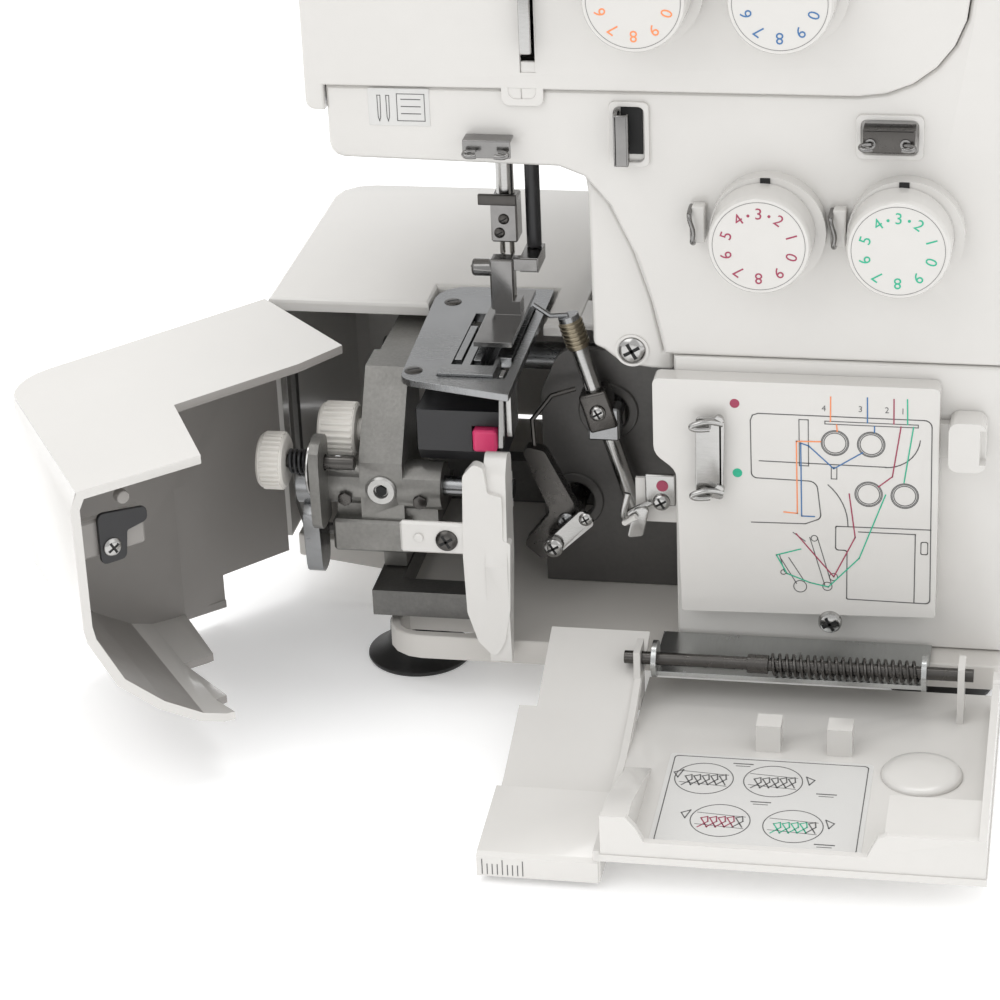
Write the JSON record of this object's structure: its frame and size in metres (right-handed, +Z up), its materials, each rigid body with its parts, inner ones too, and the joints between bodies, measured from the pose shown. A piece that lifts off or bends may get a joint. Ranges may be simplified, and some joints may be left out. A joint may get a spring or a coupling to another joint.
{
  "type": "serger overlock machine",
  "caption": "White four-thread overlock sewing machine with its side and front covers open, showing the loopers, knives, needle plate and hinge spring.",
  "frame": {"origin": "on the table, under the middle of the machine's box with both covers open", "axes": "+X to the right seen from the front, where the dials are; +Y to the back; +Z up"},
  "size_m": [0.3452, 0.323, 0.337],
  "materials": {
    "black_plastic": "satin",
    "cast": "blasted cast grey",
    "charcoal": "dark grey matt",
    "chrome": "polished",
    "dark_steel": "dark oiled",
    "inner_white": "fine matt moulding",
    "ivory_knob": "ribbed moulding",
    "pink": "smooth",
    "rubber": "matt",
    "satin_steel": "satin ground",
    "white_shell": "smooth glossy moulding",
    "zinc": "bright zinc plated"
  },
  "bodies": {
    "chassis": {"base_plate": "inner_white", "foot_front_left": "rubber", "foot_front_right": "rubber", "foot_rear_left": "rubber", "foot_rear_right": "rubber", "lower_casing": "white_shell", "rear_body_cover": "white_shell", "threading_panel": "white_shell", "front_casing": "white_shell", "upper_front_cover": "white_shell", "rear_casing": "white_shell", "throat_fairing": "white_shell", "deck_cover": "white_shell", "machine_frame": "cast", "looper_bay_wall": "charcoal", "bearing_block": "cast", "needle_plate": "satin_steel", "stitch_finger_plate": "chrome", "lower_knife": "chrome", "knob_spring": "black_plastic", "knife_release_body": "black_plastic", "motor": "dark_steel", "drive_belt": "rubber", "needle_thread_guide": "chrome", "thread_channel": "chrome", "looper_thread_clip": "chrome", "looper_thread_guide": "chrome", "hinge_bracket": "zinc", "cover_spring": "dark_steel", "spool_stand": "white_shell"},
    "cover_carriage": {"cover_hinge_shaft": "dark_steel"},
    "front_cover_body": {"front_cover": "white_shell"},
    "side_cover_body": {"side_cover": "white_shell", "side_latch_bracket": "black_plastic"},
    "dial_left_needle": {"tension_dial_left_needle": "white_shell"},
    "dial_right_needle": {"tension_dial_right_needle": "white_shell"},
    "dial_upper_looper": {"tension_dial_upper_looper": "white_shell"},
    "dial_lower_looper": {"tension_dial_lower_looper": "white_shell"},
    "drive": {"main_shaft": "satin_steel", "handwheel": "white_shell"},
    "motor_drive": {"motor_pulley": "black_plastic"},
    "needle_drive": {"needle_bar": "chrome", "needle_clamp": "satin_steel", "needle_left": "chrome", "needle_right": "chrome"},
    "presser": {"presser_bar": "dark_steel", "presser_foot": "chrome"},
    "lifter": {"presser_lifter": "black_plastic"},
    "take_up": {"take_up_lever": "chrome"},
    "upper_looper_body": {"upper_looper": "satin_steel"},
    "lower_looper_body": {"lower_looper": "dark_steel"},
    "threader": {"looper_threader": "chrome"},
    "knife_drive": {"knife_shaft": "satin_steel", "upper_knife_guard": "white_shell", "upper_knife": "chrome"},
    "length_adjuster": {"stitch_length_knob": "ivory_knob"},
    "width_adjuster": {"cutting_width_knob": "ivory_knob"},
    "button_body": {"release_button": "pink"},
    "feed": {"feed_dog": "satin_steel"},
    "pole_body": {"guide_pole": "chrome"}
  },
  "joints": [
    {"name": "front_cover_latch", "type": "slide", "parent": "chassis", "child": "cover_carriage", "axis": [1, 0, 0], "range_m": [-0.003, 0]},
    {"name": "front_cover_hinge", "type": "hinge", "parent": "cover_carriage", "child": "front_cover_body", "pos_m": [0.09561, -0.0645, 0.0293], "axis": [1, 0, 0], "range_deg": [-90, 0]},
    {"name": "side_cover_hinge", "type": "hinge", "parent": "chassis", "child": "side_cover_body", "pos_m": [-0.10839, 0.0212, 0.06], "axis": [0, 0, 1], "range_deg": [0, 46]},
    {"name": "dial_left_needle_turn", "type": "hinge", "parent": "chassis", "child": "dial_left_needle", "pos_m": [0.03551, -0.0445, 0.2512], "axis": [0, -1, 0], "range_deg": [-216, 108]},
    {"name": "dial_right_needle_turn", "type": "hinge", "parent": "chassis", "child": "dial_right_needle", "pos_m": [0.08021, -0.0445, 0.2514], "axis": [0, -1, 0], "range_deg": [-216, 108]},
    {"name": "dial_upper_looper_turn", "type": "hinge", "parent": "chassis", "child": "dial_upper_looper", "pos_m": [0.07361, -0.0445, 0.173], "axis": [0, -1, 0], "range_deg": [-216, 108]},
    {"name": "dial_lower_looper_turn", "type": "hinge", "parent": "chassis", "child": "dial_lower_looper", "pos_m": [0.11701, -0.0445, 0.1728], "axis": [0, -1, 0], "range_deg": [-216, 108]},
    {"name": "handwheel_turn", "type": "hinge", "parent": "chassis", "child": "drive", "pos_m": [0.09561, 0.0435, 0.09], "axis": [1, 0, 0], "continuous": true},
    {"name": "motor_turn", "type": "hinge", "parent": "chassis", "child": "motor_drive", "pos_m": [0.13161, 0.1015, 0.062], "axis": [1, 0, 0], "continuous": true},
    {"name": "needle_bar_stroke", "type": "slide", "parent": "chassis", "child": "needle_drive", "axis": [0, 0, 1], "range_m": [-0.016, 0]},
    {"name": "presser_lift", "type": "slide", "parent": "chassis", "child": "presser", "axis": [0, 0, 1], "range_m": [0, 0.005]},
    {"name": "presser_lifter_turn", "type": "hinge", "parent": "chassis", "child": "lifter", "pos_m": [-0.01069, 0.0445, 0.203], "axis": [1, 0, 0], "range_deg": [0, 7]},
    {"name": "take_up_swing", "type": "hinge", "parent": "chassis", "child": "take_up", "pos_m": [-0.00059, 0.0175, 0.236], "axis": [1, 0, 0], "range_deg": [-10, 10]},
    {"name": "upper_looper_swing", "type": "hinge", "parent": "chassis", "child": "upper_looper_body", "pos_m": [0.01591, -0.0085, 0.0895], "axis": [0, 1, 0], "range_deg": [-4, 1]},
    {"name": "lower_looper_swing", "type": "hinge", "parent": "chassis", "child": "lower_looper_body", "pos_m": [0.00311, -0.0145, 0.055], "axis": [0, 1, 0], "range_deg": [-4, 1]},
    {"name": "looper_threader_turn", "type": "hinge", "parent": "chassis", "child": "threader", "pos_m": [-0.00039, -0.022, 0.0486], "axis": [0, 1, 0], "range_deg": [-12, 12]},
    {"name": "knife_swing", "type": "hinge", "parent": "chassis", "child": "knife_drive", "pos_m": [-0.05439, -0.0295, 0.0725], "axis": [1, 0, 0], "range_deg": [-8, 0]},
    {"name": "stitch_length_turn", "type": "hinge", "parent": "chassis", "child": "length_adjuster", "pos_m": [-0.08839, -0.0385, 0.0835], "axis": [1, 0, 0], "range_deg": [-180, 180]},
    {"name": "cutting_width_turn", "type": "hinge", "parent": "chassis", "child": "width_adjuster", "pos_m": [-0.08039, -0.0205, 0.088], "axis": [1, 0, 0], "range_deg": [-180, 180]},
    {"name": "release_press", "type": "slide", "parent": "chassis", "child": "button_body", "axis": [0, 1, 0], "range_m": [0, 0.003], "stiffness_N_per_m": 200},
    {"name": "feed_stroke", "type": "slide", "parent": "chassis", "child": "feed", "axis": [0, 1, 0], "range_m": [-0.0015, 0.0015]},
    {"name": "guide_pole_raise", "type": "slide", "parent": "chassis", "child": "pole_body", "axis": [0, 0, 1], "range_m": [0, 0.12]}
  ],
  "couplings": [
    {"joint": "motor_turn", "follows": "handwheel_turn", "ratio": 3.3333},
    {"joint": "lower_looper_swing", "follows": "upper_looper_swing", "ratio": 1}
  ]
}
